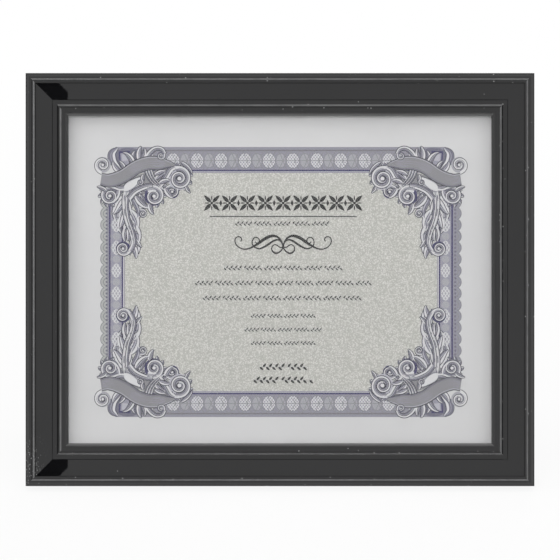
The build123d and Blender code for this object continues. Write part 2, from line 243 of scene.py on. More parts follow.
def black_moulding(name, upright, outer_shift, inner_shift, dusty):
    """Glossy black moulding: streaks along it, grey lines painted near its crests as highlights, a lip
    bevel painted lighter as sheen, and pale dust.
    """
    made, tree, shader = new_material(name, Specular_IOR_Level=0.5)
    place = face_place(tree)
    across, up, out = add(tree, "SeparateXYZ", Vector=place).outputs
    front = band(tree, out, front_starts, front_starts + 1)
    reach = outside_width / 2 if upright else outside_height / 2
    inset = maths(tree, "SUBTRACT", reach, maths(tree, "ABSOLUTE", across if upright else up))
    thin, long = 1.6, 0.02
    scale = (thin, long, thin) if upright else (long, thin, thin)
    streaks = noise(tree, stretched(tree, place, scale), scale=1.0, detail=4)
    broken = band(tree, noise(tree, place, scale=0.12), 0.35, 0.6, 0.8, 1.0)

    def line(centre, half, soft):
        """One near an inset from the outer edge, and nothing away from it."""
        off = maths(tree, "ABSOLUTE", maths(tree, "SUBTRACT", inset, centre))
        return band(tree, off, half, half + soft, 1.0, 0.0)

    # Painted highlights: grey lines near the crests of the two ridges, each set off its crest by the
    # rail's own shift
    outer_line = line(outer_crest + outer_shift, half=0.35, soft=0.3)
    inner_line = line(inner_crest + inner_shift, half=0.4, soft=0.3)
    crests = product(tree, front, maths(tree, "MAXIMUM", outer_line, inner_line))
    crest_highlight = product(tree, crests, broken, band(tree, streaks, 0.2, 0.8, 0.75, 1.0))
    bevel = band(tree, inset, rail_width - lip_bevel, rail_width - lip_bevel * 0.3)
    ridges = [line(crest, half=1.2, soft=1.5) for crest in (outer_crest, inner_crest)]
    edges = maths(tree, "MAXIMUM", maths(tree, "MAXIMUM", *ridges), line(0.0, half=0.8, soft=1.0))
    chips = product(tree, specks(tree, place, scale=0.5, share=0.06, size=0.26), edges, front)
    dust = maths(tree, "MAXIMUM", chips, specks(tree, place, scale=0.3, share=0.012, size=0.12))
    if dusty:
        corner = product(tree, front, band(tree, up, *dust_heights), band(tree, inset, *dust_insets))
        thick = specks(tree, place, scale=0.9, share=0.6, size=0.36)
        dust = maths(tree, "MAXIMUM", dust, product(tree, thick, corner))
    clouds = noise(tree, place, scale=0.02, detail=4, roughness=0.6)
    colour = blend(tree, clouds, grey(0.004, 0.0004), grey(0.008, 0.001))
    # Painted sheen: the inner lip bevel is painted lighter grey, fully on the top and bottom rails and
    # faintly on the uprights
    colour = blend(tree, product(tree, bevel, 0.2 if upright else 1.0), colour, grey(0.13))
    # The painted highlight lines go over the colour
    colour = blend(tree, crest_highlight, colour, grey(0.2, 0.002))
    colour = blend(tree, dust, colour, grey(0.3))
    tree.links.new(colour, shader.inputs["Base Color"])
    # The dust, the painted highlight lines and the painted lip bevel are a little rougher than the
    # gloss
    dust_and_painted_highlights = maths(tree, "MAXIMUM", maths(tree, "MAXIMUM", crest_highlight, dust), product(tree, bevel, 0.6))
    shine = maths(tree, "ADD", band(tree, streaks, 0.3, 0.7, 0.0, 0.02), product(tree, dust_and_painted_highlights, 0.4))
    tree.links.new(shine, shader.inputs["Roughness"])
    raised(tree, shader, streaks, distance=0.000004, strength=0.1)
    return made


def picture_glass():
    """Low-glare picture glass that lets the lamps through to the sheet."""
    made, tree, shader = new_material(
        "picture_glass", Base_Color=grey(0.97), Roughness=0.0, IOR=1.46, Specular_IOR_Level=0.06,
        Transmission_Weight=1.0,
    )
    clear = add(tree, "BsdfTransparent", Color=grey(0.96))
    shadow = add(tree, "LightPath").outputs["Is Shadow Ray"]
    both = add(tree, "MixShader", Fac=shadow)
    tree.links.new(shader.outputs[0], both.inputs[1])
    tree.links.new(clear.outputs[0], both.inputs[2])
    tree.links.new(both.outputs[0], tree.nodes["Material Output"].inputs["Surface"])
    return made


def paper(name, colour, darker, grain=0.5):
    """Uncoated paper or card with faint fibres."""
    made, tree, shader = new_material(name, Roughness=0.85, Specular_IOR_Level=0.2)
    place = place_on_piece(tree)
    fibres = noise(tree, place, scale=900, detail=4, roughness=0.65)
    clouds = noise(tree, place, scale=18, detail=2)
    share = product(tree, maths(tree, "ADD", fibres, clouds), grain)
    tree.links.new(blend(tree, share, colour, darker), shader.inputs["Base Color"])
    raised(tree, shader, fibres, distance=0.00002, strength=0.3)
    return made


def parchment():
    """The printed ground of the certificate: a fine mottle of pale warm greys."""
    made, tree, shader = new_material("parchment_print", Roughness=0.8, Specular_IOR_Level=0.2)
    place = place_on_piece(tree)
    warp = noise(tree, place, scale=500, detail=2)
    cells = add(
        tree, "TexVoronoi", {"feature": "SMOOTH_F1"}, Vector=place, Scale=980, Smoothness=0.5
    ).outputs["Distance"]
    worms = maths(tree, "ADD", cells, product(tree, warp, 0.5))
    mottle = band(tree, worms, 0.3, 0.85)
    clouds = noise(tree, place, scale=25)
    pale = blend(tree, clouds, (0.62, 0.615, 0.59, 1), (0.68, 0.67, 0.645, 1))
    tree.links.new(blend(tree, mottle, pale, (0.4, 0.4, 0.37, 1)), shader.inputs["Base Color"])
    return made


def ink(name, colour):
    """Printing ink: one colour, a little broken by the paper's grain."""
    middle_grey, thinned = 0.5, 0.12
    made, tree, shader = new_material(name, Roughness=0.7, Specular_IOR_Level=0.05)
    grain = band(tree, noise(tree, place_on_piece(tree), scale=1500, detail=2), 0.5, 0.9, 0.0, 0.2)
    pale = tuple(level + (middle_grey - level) * thinned for level in colour[:3]) + (1,)
    tree.links.new(blend(tree, grain, colour, pale), shader.inputs["Base Color"])
    return made


def board_paper(name, edge_axis):
    """Hardboard faced with black paper, whose cut edges show brown."""
    made, tree, shader = new_material(name, Roughness=0.75, Specular_IOR_Level=0.3)
    place = place_on_piece(tree)
    grain = noise(tree, place, scale=700, detail=4, roughness=0.7)
    clouds = noise(tree, place, scale=14)
    facing = blend(tree, clouds, grey(0.017), grey(0.027))
    lint = specks(tree, place, scale=260, share=0.012, size=0.12)
    facing = blend(tree, lint, facing, grey(0.25))
    fibres = noise(tree, place, scale=1400)
    brown = blend(tree, fibres, (0.19, 0.11, 0.055, 1), (0.09, 0.05, 0.026, 1))
    turned = add(tree, "VectorMath", {"operation": "DOT_PRODUCT"})
    feed(tree, turned.inputs[0], add(tree, "TexCoord").outputs["Normal"])
    feed(tree, turned.inputs[1], edge_axis)
    edge = band(tree, maths(tree, "ABSOLUTE", turned.outputs["Value"]), 0.3, 0.5, 1.0, 0.0)
    tree.links.new(blend(tree, edge, facing, brown), shader.inputs["Base Color"])
    raised(tree, shader, grain, distance=0.00006, strength=0.5)
    return made


def steel(name, colour, roughness, brushed=(60, 900, 900)):
    """Plated steel with fine rolling lines and dull patches."""
    darkened = 0.72
    made, tree, shader = new_material(name, Metallic=1.0)
    place = place_on_piece(tree)
    lines = noise(tree, stretched(tree, place, brushed), scale=1.0)
    patches = noise(tree, place, scale=90, roughness=0.6)
    dull = tuple(level * darkened for level in colour) + (1,)
    tree.links.new(blend(tree, patches, colour + (1,), dull), shader.inputs["Base Color"])
    finish = maths(tree, "ADD", band(tree, patches, 0.3, 0.7, -0.06, 0.1), roughness)
    tree.links.new(finish, shader.inputs["Roughness"])
    raised(tree, shader, lines, distance=0.00002, strength=0.4)
    return made


metals = {
    "plated": steel("zinc_plate", (0.60, 0.59, 0.56), roughness=0.3),
    "bright": steel("bright_steel", (0.56, 0.56, 0.57), roughness=0.22),
    "rivet": steel("rivet_steel", (0.52, 0.51, 0.49), roughness=0.34, brushed=(400, 400, 400)),
    "hanger": steel("hanger_steel", (0.62, 0.60, 0.55), roughness=0.26),
}

inks = {
    "line": ink("ink_dark_slate", (0.014, 0.014, 0.030, 1)),
    "violet": ink("ink_violet", (0.03, 0.026, 0.105, 1)),
    "shade": ink("ink_shade", (0.13, 0.128, 0.175, 1)),
    "ribbon": ink("ink_ribbon_grey", (0.215, 0.215, 0.23, 1)),
    "rule": ink("ink_rule_grey", (0.16, 0.16, 0.18, 1)),
    "band": ink("ink_band", (0.24, 0.236, 0.28, 1)),
    "tint": ink("ink_tint", (0.265, 0.26, 0.315, 1)),
    "pale": ink("ink_pale", (0.40, 0.395, 0.445, 1)),
    "leaf": ink("ink_leaf", (0.33, 0.33, 0.36, 1)),
    "light": ink("ink_light", (0.60, 0.60, 0.61, 1)),
    "scallop": ink("ink_scallop", (0.36, 0.37, 0.36, 1)),
    "black": ink("ink_black", (0.003, 0.003, 0.004, 1)),
    "soft": ink("ink_soft_black", (0.02, 0.02, 0.021, 1)),
}
ink_order = list(inks)


# Lines that the engraving follows


def at(across, down):
    """A place measured across and down from the border's top left corner."""
    return Vector((across - border_half_width, border_half_height + band_lift - down))


def trail(start, heading, length, bend, steps=60):
    """A line that leaves a point and bends as it goes, in degrees for each millimetre."""
    places, turns = [], []
    place, turn = Vector(start), radians(heading)
    stride = length / steps
    for number in range(steps + 1):
        places.append(place.copy())
        turns.append(turn)
        turn += radians(bend(number / steps)) * stride
        place = place + Vector((cos(turn), sin(turn))) * stride

    def spine(share):
        low = min(int(share * steps), steps - 1)
        rest = share * steps - low
        turned = turns[low] * (1 - rest) + turns[low + 1] * rest
        return places[low].lerp(places[low + 1], rest), Vector((-sin(turned), cos(turned)))

    return spine


def unbent(share):
    """No bend, for a trail that runs straight."""
    return 0


def through(*places):
    """A smooth line through places that are measured from the border's corner."""
    points = [at(*place) for place in places]
    knots = [points[0] * 2 - points[1], *points, points[-1] * 2 - points[-2]]
    spans = len(points) - 1

    def spine(share):
        span = min(int(share * spans), spans - 1)
        rest = share * spans - span
        before, first, second, after = knots[span:span + 4]
        square = before * 2 - first * 5 + second * 4 - after
        cube = (first - second) * 3 - before + after
        point = first + ((second - before) * rest + square * rest**2 + cube * rest**3) / 2
        slope = (second - before + square * 2 * rest + cube * 3 * rest**2).normalized()
        return point, Vector((-slope.y, slope.x))

    return spine


def spiral(centre, radius, start, turns):
    """A spiral that winds in round a centre, clockwise where its turns are negative."""
    inner, tightening = 0.24, 0.8
    way = 1 if turns > 0 else -1

    def spine(share):
        angle = radians(start + 360 * turns * share)
        outward = Vector((cos(angle), sin(angle)))
        reach = radius * (1 - (1 - inner) * share**tightening)
        return Vector(centre) + outward * reach, -outward * way

    return spine


def straight(start, end):
    """A straight line between two points."""
    first, run = Vector(start), Vector(end) - Vector(start)
    across = Vector((-run.y, run.x)).normalized()
    return lambda share: (first + run * share, across)


def wave(start, end, swing, waves, phase):
    """A wavy line between two points, with a number of waves in it."""
    first, run = Vector(start), Vector(end) - Vector(start)
    side = Vector((-run.y, run.x)).normalized()

    def spine(share):
        angle = 2 * pi * waves * share + phase
        slope = (run + side * swing * 2 * pi * waves * cos(angle)).normalized()
        return first + run * share + side * swing * sin(angle), Vector((-slope.y, slope.x))

    return spine


def oval(centre, half_width, half_height):
    """The outline of an oval."""
    def spine(share):
        angle = 2 * pi * share
        outward = Vector((cos(angle) / half_width, sin(angle) / half_height)).normalized()
        point = Vector(centre) + Vector((cos(angle) * half_width, sin(angle) * half_height))
        return point, -outward

    return spine


def beside(spine, width, side):
    """A line beside a spine, at a share of the half width."""
    def moved(share):
        point, across = spine(share)
        return point + across * width(share) * side / 2, across

    return moved


def part(spine, low, high):
    """The stretch of a spine between two shares."""
    return lambda share: spine(low + (high - low) * share)


def heading_of(across):
    """The way that a line runs, in degrees, from the direction across it."""
    return degrees(atan2(-across.x, across.y))


# Widths along a line


def even(width):
    """One width all along."""
    return lambda share: width


def swelling(width):
    """Pointed at both ends and widest in the middle."""
    return lambda share: width * max(sin(pi * share), 0.04) ** 0.7


def leafy(width):
    """A leaf: round near its foot and drawn out to a point."""
    return lambda share: width * (max(sin(pi * share**0.72), 0.0) ** 0.85 + 0.03)


def closing(width, tip):
    """Widest at the start and narrowing to a share of it."""
    return lambda share: width * (1 - (1 - tip) * share)


def bulging(thin, more, peak, spread):
    """A thin line that is thicker round one share of its length."""
    return lambda share: thin + more * exp(-(((share - peak) / spread) ** 2))


def grown(width, by):
    """A width with as much added everywhere."""
    return lambda share: width(share) + by


def scaled(width, by):
    """A share of a width."""
    return lambda share: width(share) * by


# The engraving


class Plate:
    """An engraving: flat strokes, each in one ink, on numbered layers."""

    def __init__(self, layer):
        self.mesh = bmesh.new()
        self.layer = layer

    def lay(self, verts, colour, over):
        """Give new faces their ink and their layer."""
        number = ink_order.index(colour)
        for vert in verts:
            vert.co.z = (self.layer + over) * layer_step
            for face in vert.link_faces:
                face.material_index = number

    def stroke(self, colour, spine, width, steps, over=0):
        """A stroke along a spine, whose width changes from its start to its end."""
        made = bmesh.ops.create_grid(self.mesh, x_segments=steps, y_segments=1, size=0.5)["verts"]
        for vert in made:
            share, side = vert.co.x + 0.5, vert.co.y
            point, across = spine(share)
            vert.co.xy = point + across * side * width(share)
        self.lay(made, colour, over)

    def disc(self, colour, centre, half_width, half_height=None, segments=24, over=0):
        """A filled oval."""
        made = bmesh.ops.create_circle(self.mesh, cap_ends=True, segments=segments, radius=1)["verts"]
        for vert in made:
            vert.co.x = centre[0] + vert.co.x * half_width
            vert.co.y = centre[1] + vert.co.y * (half_height or half_width)
        self.lay(made, colour, over)

    def engrave(self, spine, width, fill, steps, lit=1):
        """A leaf or a scroll in relief: outlined, lit along one side and shaded along the other."""
        outline, vein = 0.85, 0.36
        self.stroke("line", spine, grown(width, outline), steps)
        self.stroke(fill, spine, width, steps, over=1)
        for colour, side, share in (("light", 0.55, 0.3), ("shade", -0.68, 0.24)):
            self.stroke(colour, beside(spine, width, side * lit), scaled(width, share), steps, over=2)
        self.stroke("line", part(spine, 0.08, 0.86), swelling(vein), steps, over=2)

    def volute(self, centre, radius, start, turns, width, fill="leaf", hollow="shade"):
        """A rolled end: a band that winds in over a hollow to a round eye."""
        hollow_share, eye_share, glint_share = 0.85, 0.25, 0.15
        self.disc(hollow, centre, radius * hollow_share)
        way = 1 if turns > 0 else -1
        self.layer += 1
        rolled = spiral(centre, radius - width / 2, start, turns)
        self.engrave(rolled, closing(width, tip=0.55), fill, steps=36, lit=-way)
        self.disc("line", centre, radius * eye_share, over=1)
        self.disc("light", centre, radius * glint_share, segments=12, over=2)
        self.layer -= 1

    def four_ways(self, lift):
        """Mirror a top-left corner to the other three, about the middle and a lift."""
        for across, upright in ((-1, 1), (1, -1)):
            everything = self.mesh.verts[:] + self.mesh.edges[:] + self.mesh.faces[:]
            copied = bmesh.ops.duplicate(self.mesh, geom=everything)["geom"]
            verts = [item for item in copied if isinstance(item, bmesh.types.BMVert)]
            faces = [item for item in copied if isinstance(item, bmesh.types.BMFace)]
            turn = Matrix.Translation((0, lift, 0)) @ Matrix.Diagonal((across, upright, 1, 1))
            turn = turn @ Matrix.Translation((0, -lift, 0))
            bmesh.ops.transform(self.mesh, matrix=turn, verts=verts)
            bmesh.ops.reverse_faces(self.mesh, faces=faces)

    def print_on_sheet(self, name):
        """Put the engraving on the sheet as one piece."""
        bmesh.ops.transform(self.mesh, matrix=sheet_place, verts=self.mesh.verts)
        piece = piece_from(self.mesh, name)
        for colour in ink_order:
            piece.data.materials.append(inks[colour])
        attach(piece, "root")


def piece_from(mesh, name):
    """An object at the origin from a finished bmesh."""
    data = bpy.data.meshes.new(name)
    mesh.to_mesh(data)
    mesh.free()
    piece = bpy.data.objects.new(name, data)
    bpy.context.scene.collection.objects.link(piece)
    return piece


def spray(plate, stem, count, longest, broadest, splay):
    """Leaves that grow from both sides of a stem and curl outwards, shorter towards its tip."""
    first, run, shortening = 0.04, 0.9, 0.45
    long_leaf, short_leaf = 1.1, 0.85
    base = plate.layer
    for number in range(count, -1, -1):
        share = first + run * number / count
        point, across = stem(share)
        size = 1 - shortening * share
        plate.layer = base + relief * (number % 2)
        for side in (-1, 1):
            reach = longest * size * (long_leaf if number % 2 else short_leaf)
            way = heading_of(across) + side * splay
            leaf = trail(point, way, reach, lambda s, side=side: side * (7 * s**1.5 - 1.2))
            fill = "leaf" if side > 0 else "pale"
            plate.engrave(leaf, leafy(broadest * size), fill, steps=14, lit=side)
    plate.layer = base + 2 * relief
    plate.engrave(stem, closing(3.0, tip=0.45), "leaf", steps=26)


def lobes(plate, spine, width, count, longest, side, low=0.08, high=0.85):
    """The lobes of an acanthus scroll, which fan out of one side of its body."""
    rooted, shortening, splay, broad = 0.15, 0.4, 52, 0.4
    for number in range(count):
        share = low + (high - low) * number / (count - 1)
        point, across = spine(share)
        foot = point + across * side * width * rooted
        reach = longest * (1 - shortening * abs(2 * share - 1))
        way = heading_of(across) + side * splay
        lobe = trail(foot, way, reach, lambda s, side=side: side * (10 * s - 7))
        fill = "leaf" if number % 2 else "pale"
        plate.engrave(lobe, leafy(longest * broad), fill, steps=10, lit=-side)


def acanthus(plate, arm, arm_width, arm_side, centre, radius, start, turns, width, hollow):
    """An acanthus scroll: a lobed arm that runs into a volute."""
    base = plate.layer
    way = 1 if turns > 0 else -1
    rolled = spiral(centre, radius - width / 2, start, turns)
    lobes(plate, arm, arm_width, count=4, longest=5.2, side=arm_side)
    lobes(plate, rolled, width, count=6, longest=4.6, side=-way, low=0.02, high=0.34)
    plate.layer = base + relief
    plate.engrave(arm, closing(arm_width, tip=width / arm_width), "leaf", steps=22, lit=arm_side)
    plate.volute(centre, radius, start, turns, width, hollow=hollow)
    plate.layer = base


def ribbon(plate, spine, width):
    """A broad plain ribbon with shaded edges, and fine hatching at its ends and its middle."""
    steps, hatches = 48, 8
    plate.stroke("line", spine, grown(width, 1.0), steps)
    plate.stroke("ribbon", spine, width, steps, over=1)
    for side, colour, thick in ((0.86, "pale", 0.35), (-0.86, "shade", 0.5)):
        edge = part(beside(spine, width, side), 0.01, 0.97)
        plate.stroke(colour, edge, even(thick), steps, over=2)
    for number in range(hatches):
        side = -0.5 + number / (hatches - 1)
        reach = 0.16 + 0.1 * sin(2.7 * number)
        for low, high in ((0.01, reach), (0.9 - reach, 0.9), (0.42, 0.42 + reach)):
            hatch = part(beside(spine, width, side), low, high)
            plate.stroke("tint", hatch, swelling(0.3), steps=10, over=2)


def cartouche(plate, spine, width):
    """A pale boss with a rolled rim."""
    steps = 24
    plate.stroke("line", spine, grown(width, 1.0), steps)
    plate.stroke("leaf", spine, width, steps, over=1)
    plate.stroke("light", beside(spine, width, 0.26), scaled(width, 0.6), steps, over=2)
    rim = part(beside(spine, width, -0.5), 0.1, 0.85)
    plate.stroke("shade", rim, swelling(0.4), steps=16, over=2)


def leaves(plate, rows, steps):
    """Single leaves, each by its foot, heading, length, bend and width."""
    base = plate.layer
    for number, (foot, heading, length, bend, width) in enumerate(rows):
        plate.layer = base + relief * (number % 2)
        leaf = trail(at(*foot), heading, length, lambda s, bend=bend: bend * (2.2 * s - 0.3))
        fill, lit = ("leaf", -1) if bend > 0 else ("pale", 1)
        plate.engrave(leaf, leafy(width), fill, steps, lit)
    plate.layer = base


def side_spray(plate):
    """The long acanthus leaf down the side, which ends in a volute."""
    base = plate.layer
    stem = through((17.0, 27), (15.8, 36), (17.0, 46), (20.2, 55), (21.0, 62), (17.5, 68.6))
    spray(plate, part(stem, 0.0, 0.8), count=8, longest=13, broadest=4.0, splay=26)
    plate.layer = base
    leaves(plate, (
        ((14, 33), -122, 16, 5.5, 4.4), ((20, 31), -58, 17, -6.0, 4.6), ((15, 42), -112, 14, 5.0, 4.0),
        ((19, 40), -60, 15, -5.5, 4.4), ((17, 50), -108, 11, 5.0, 3.4), ((21, 49), -66, 14, -4.5, 4.2),
        ((22, 57), -76, 13, -4.0, 4.0), ((20, 62), -64, 10, -5.0, 3.4),
    ), steps=14)
    plate.layer = base + 2 * relief
    plate.engrave(stem, closing(4.4, tip=0.55), "leaf", steps=34, lit=-1)
    plate.volute(at(14.4, 64.9), radius=5.4, start=-20, turns=-1.45, width=2.4, hollow="violet")
    plate.volute(at(27.0, 42.6), radius=3.2, start=120, turns=-1.3, width=1.5)
    plate.layer = base


def crown(plate):
    """A roll, a small shield and leaves, which stand up behind the ribbon over a dark hollow."""
    base = plate.layer
    plate.stroke("shade", through((8, 12), (13, 7), (20, 5.5), (29, 6)), swelling(11), steps=24)
    plate.layer = base + 1
    plate.stroke("violet", straight(at(15.3, 2.6), at(15.9, 12.5)), even(7.4), steps=1)
    plate.stroke("tint", straight(at(15.3, 3.8), at(15.8, 11.5)), even(5.4), steps=1, over=1)
    plate.stroke("pale", straight(at(15.3, 4.6), at(15.7, 8.8)), even(3.6), steps=1, over=2)
    plate.layer += relief
    roll = through((11.0, 0.6), (7.4, 4.2), (8.2, 9.4), (12.6, 13.6))
    plate.engrave(roll, swelling(4.8), "tint", steps=20)
    plate.layer += relief
    leaves(plate, (
        ((20.4, 13.5), 92, 11.5, -4.0, 3.0), ((22.0, 12.5), 116, 12.5, 5.5, 3.2),
        ((25.2, 10), 98, 11, -5.5, 3.2), ((26.0, 9.5), 66, 9.5, 5.5, 2.8),
        ((12.5, 16.5), 132, 9, -5.5, 3.0), ((15.8, 14.5), 118, 7, 5.0, 2.4),
    ), steps=14)
    plate.layer += relief
    arch = through((29.0, 8.0), (31.8, 3.4), (35.6, 0.9), (39.4, 1.6), (41.4, 5.0))
    plate.engrave(arch, closing(3.2, tip=0.55), "leaf", steps=24)
    plate.layer = base


def hanging_scrolls(plate):
    """The scrolls, stems and small leaves below the ribbon, over a hollow."""
    base = plate.layer
    hollow = through((4, 26), (12, 27), (22, 25), (33, 22), (44, 17.5), (52, 14))
    plate.stroke("ribbon", hollow, swelling(13), steps=30)
    plate.layer = base + 1

    # Each arm's width and lobed side, then its volute's centre, radius, start, turns and width
    right_arm = through((30, 27.5), (36, 26.0), (41, 20.5), (45, 14.2), (50, 12.0))
    acanthus(plate, right_arm, 3.6, -1, at(50.4, 20.2), 8.6, 112, -1.6, 3.2, hollow="pale")
    plate.volute(at(45.8, 28.6), radius=5.2, start=150, turns=-1.35, width=2.1, hollow="violet")
    middle_arm = through((18, 33), (22, 28.5), (28, 25.6), (33, 24.8))
    acanthus(plate, middle_arm, 3.4, -1, at(34.2, 31.4), 7.2, 96, -1.55, 2.9, hollow="violet")
    left_arm = through((15, 26.5), (12, 26.4), (9, 25.4), (6.4, 24.9))
    acanthus(plate, left_arm, 3.0, 1, at(6.0, 31.3), 6.8, 88, 1.5, 2.7, hollow="shade")
    plate.layer = base + 1
    cartouche(plate, through((13.4, 27.4), (17, 26.8), (21.5, 23.8), (26, 19.4)), swelling(7.4))

    # Three stems fan out from under the ribbon
    plate.layer = base + 1 + relief
    for step, fill in ((0.0, "leaf"), (1.75, "pale"), (3.5, "leaf")):
        stem = through((28.6 + step, 14.5), (30.4 + step, 19.4), (34.0 + step, 23.8), (40.5, 27.5))
        plate.engrave(stem, closing(1.35, tip=0.5), fill, steps=18)
    leaves(plate, (
        ((41, 26), -58, 9, 4.0, 3.4), ((31, 36), -76, 8, 5.0, 3.0), ((25, 30), -70, 11, 4.5, 3.6),
        ((22, 31), -52, 13, 5.0, 3.8), ((12, 27), -110, 10, -3.0, 3.0), ((4, 28), 150, 7, 6.0, 2.2),
        ((51.4, 9.4), -38, 11, -4.0, 2.0), ((54.4, 25.0), -62, 5.5, 6.0, 1.8),
        ((35, 20.5), 40, 8, -6.0, 2.8), ((37.4, 23.0), 22, 7.5, -6.0, 2.6),
        ((27.2, 17.4), -96, 6, 5.0, 2.2), ((34.5, 17.6), 24, 8, -4.5, 2.4),
    ), steps=12)
    plate.layer = base + 2 * relief
    plate.volute(at(25.4, 22.6), radius=2.3, start=60, turns=-1.2, width=1.1, fill="pale")
    plate.layer = base


def ribbon_width(share):
    """The ribbon widens from its left end, and closes at its right one."""
    return min(6.8 + 8 * share, 8.2) * min(1, (1.01 - share) / 0.2) ** 0.75


def corner_ornaments():
    """Acanthus scrolls, a leaf spray and a ribbon in each corner of the border."""
    plate = Plate(corner_layer)
    side_spray(plate)
    crown(plate)
    plate.layer = corner_layer + 2 * relief
    hanging_scrolls(plate)

    # The ribbon sweeps over them, and rolls up at its ends
    plate.layer = corner_layer + 5 * relief
    sweep = through(
        (0.3, 20.5), (6.4, 21.4), (14.5, 18.5), (23.0, 12.9), (30.7, 10.3), (38.0, 10.5), (47.4, 11.4)
    )
    ribbon(plate, sweep, ribbon_width)
    plate.layer += relief
    plate.volute(at(1.4, 11.4), 6.0, start=262, turns=-1.35, width=2.7, fill="light", hollow="leaf")
    plate.volute(at(38.6, 5.6), 3.0, start=30, turns=-1.2, width=1.5, fill="pale")
    plate.four_ways(band_lift)
    plate.print_on_sheet("certificate_corners")


def lattice(plate, centre, half_width, half_height, rows, thick, over):
    """Crossed pale lines that fill an oval."""
    for lean in (45, 135):
        along = Vector((cos(radians(lean)), sin(radians(lean))))
        aside = Vector((-along.y, along.x))
        for row in range(rows):
            off = (2 * row + 1) / rows - 1
            reach = (1 - off**2) ** 0.5
            ends = [
                (centre[0] + end.x * half_width, centre[1] + end.y * half_height)
                for end in (aside * off - along * reach, aside * off + along * reach)
            ]
            plate.stroke("light", straight(*ends), even(thick), steps=1, over=over)


def long_band(plate, y, outward):
    """The band along the top or the bottom: ovals split by a line, between woven waves."""
    ends_inset, middle_inset, pitch, count = 9.5, 8.7, 15.3, 6
    small_oval, small_rim, large_oval, net = (2.9, 4.3), (3.2, 4.6), (4.1, 4.9), (3.9, 4.7)
    half = border_half_width - ends_inset
    middle = y - outward * middle_inset

    def line(colour, inset, thick, over):
        """A line all along the band."""
        level = y - outward * inset
        plate.stroke(colour, straight((-half, level), (half, level)), even(thick), steps=1, over=over)

    line("band", inset=0.9, thick=1.8, over=0)
    line("band", inset=8.5, thick=13.6, over=0)
    line("rule", inset=2.2, thick=0.9, over=2)
    for number in range(-count, count + 1):
        small = (number * pitch, middle)
        large = (number * pitch + pitch / 2, middle)
        plate.disc("leaf", small, *small_oval, over=1)
        plate.stroke("ribbon", oval(small, *small_rim), even(0.3), steps=24, over=2)
        plate.disc("tint", large, *large_oval, over=1)
        plate.stroke("rule", oval(large, *large_oval), even(0.26), steps=28, over=2)
        lattice(plate, large, *net, rows=6, thick=0.5, over=2)
    for phase in (0, pi):
        weave = wave((-half, middle), (half, middle), swing=6.2, waves=2 * half / pitch, phase=phase)
        plate.stroke("ribbon", weave, even(0.42), steps=300, over=2)
    line("ribbon", inset=middle_inset, thick=0.4, over=3)
    line("tint", inset=14.2, thick=0.5, over=2)
    line("violet", inset=15.0, thick=1.0, over=3)
    line("tint", inset=16.1, thick=0.8, over=2)


def short_band(plate, x, outward):
    """The band up one side: a scalloped edge, a dotted line and a tinted strip between rules."""
    corner_clearance, strip_inset, pitch, count = 22, 10.1, 7.3, 7
    dots_each, dot_inset, dot_size = 3, 3.9, (0.7, 0.75)
    tall_oval, low_oval = (2.9, 4.5), (2.5, 2.4)
    top = border_half_height + band_lift - corner_clearance
    foot = -border_half_height + band_lift + corner_clearance

    # Each scallop is four discs, one over another: their ink, inset and half sizes
    scallop = "scallop" if outward < 0 else "band"
    discs = (
        ("rule", 3.6, 3.8, 4.2), (scallop, 3.6, 3.4, 3.8),
        ("ribbon", 4.2, 2.7, 2.6), (scallop, 4.5, 2.4, 2.2),
    )
    for number in range(-count, count + 1):
        level = band_lift + number * pitch
        for over, (colour, inset, *size) in enumerate(discs):
            plate.disc(colour, (x - outward * inset, level), *size, over=over)

    def line(colour, inset, thick, over):
        """A line all along the band."""
        across = x - outward * inset
        plate.stroke(colour, straight((across, foot), (across, top)), even(thick), steps=1, over=over)

    line("band", inset=4.7, thick=1.3, over=4)
    line("violet", inset=5.9, thick=1.0, over=4)
    line("tint", inset=strip_inset, thick=7.4, over=3)
    line("violet", inset=14.0, thick=0.9, over=4)
    line("band", inset=15.3, thick=0.5, over=4)
    dot_pitch = pitch / dots_each
    for number in range(-dots_each * count, dots_each * count + 1):
        dot = (x - outward * dot_inset, band_lift + number * dot_pitch)
        plate.disc("shade", dot, *dot_size, segments=8, over=5)
    middle = x - outward * strip_inset
    for number in range(-4, 4):
        level = band_lift + (2 * number + 1) * pitch
        plate.disc("leaf", (middle, level), *tall_oval, over=4)
        plate.disc("leaf", (middle, level + pitch), *low_oval, over=4)
        lattice(plate, (middle, level), *tall_oval, rows=4, thick=0.45, over=5)


def border_bands():
    """The four bands between the corner ornaments."""
    plate = Plate(band_layer)
    for side in (-1, 1):
        short_band(plate, side * border_half_width, side)
        long_band(plate, band_lift + side * border_half_height, side)
    plate.print_on_sheet("certificate_border")


def parchment_ground():
    """The mottled ground inside the bands."""
    mesh = bmesh.new()
    bmesh.ops.create_grid(mesh, x_segments=1, y_segments=1, size=0.5)
    half_width = border_half_width - side_band + ground_lap
    half_height = border_half_height - top_band + ground_lap
    size = Matrix.Diagonal((2 * half_width, 2 * half_height, 1, 1))
    place = sheet_place @ Matrix.Translation((0, band_lift, ground_layer * layer_step)) @ size
    bmesh.ops.transform(mesh, matrix=place, verts=mesh.verts)
    piece = piece_from(mesh, "certificate_ground")
    piece.data.materials.append(parchment())
    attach(piece, "root")


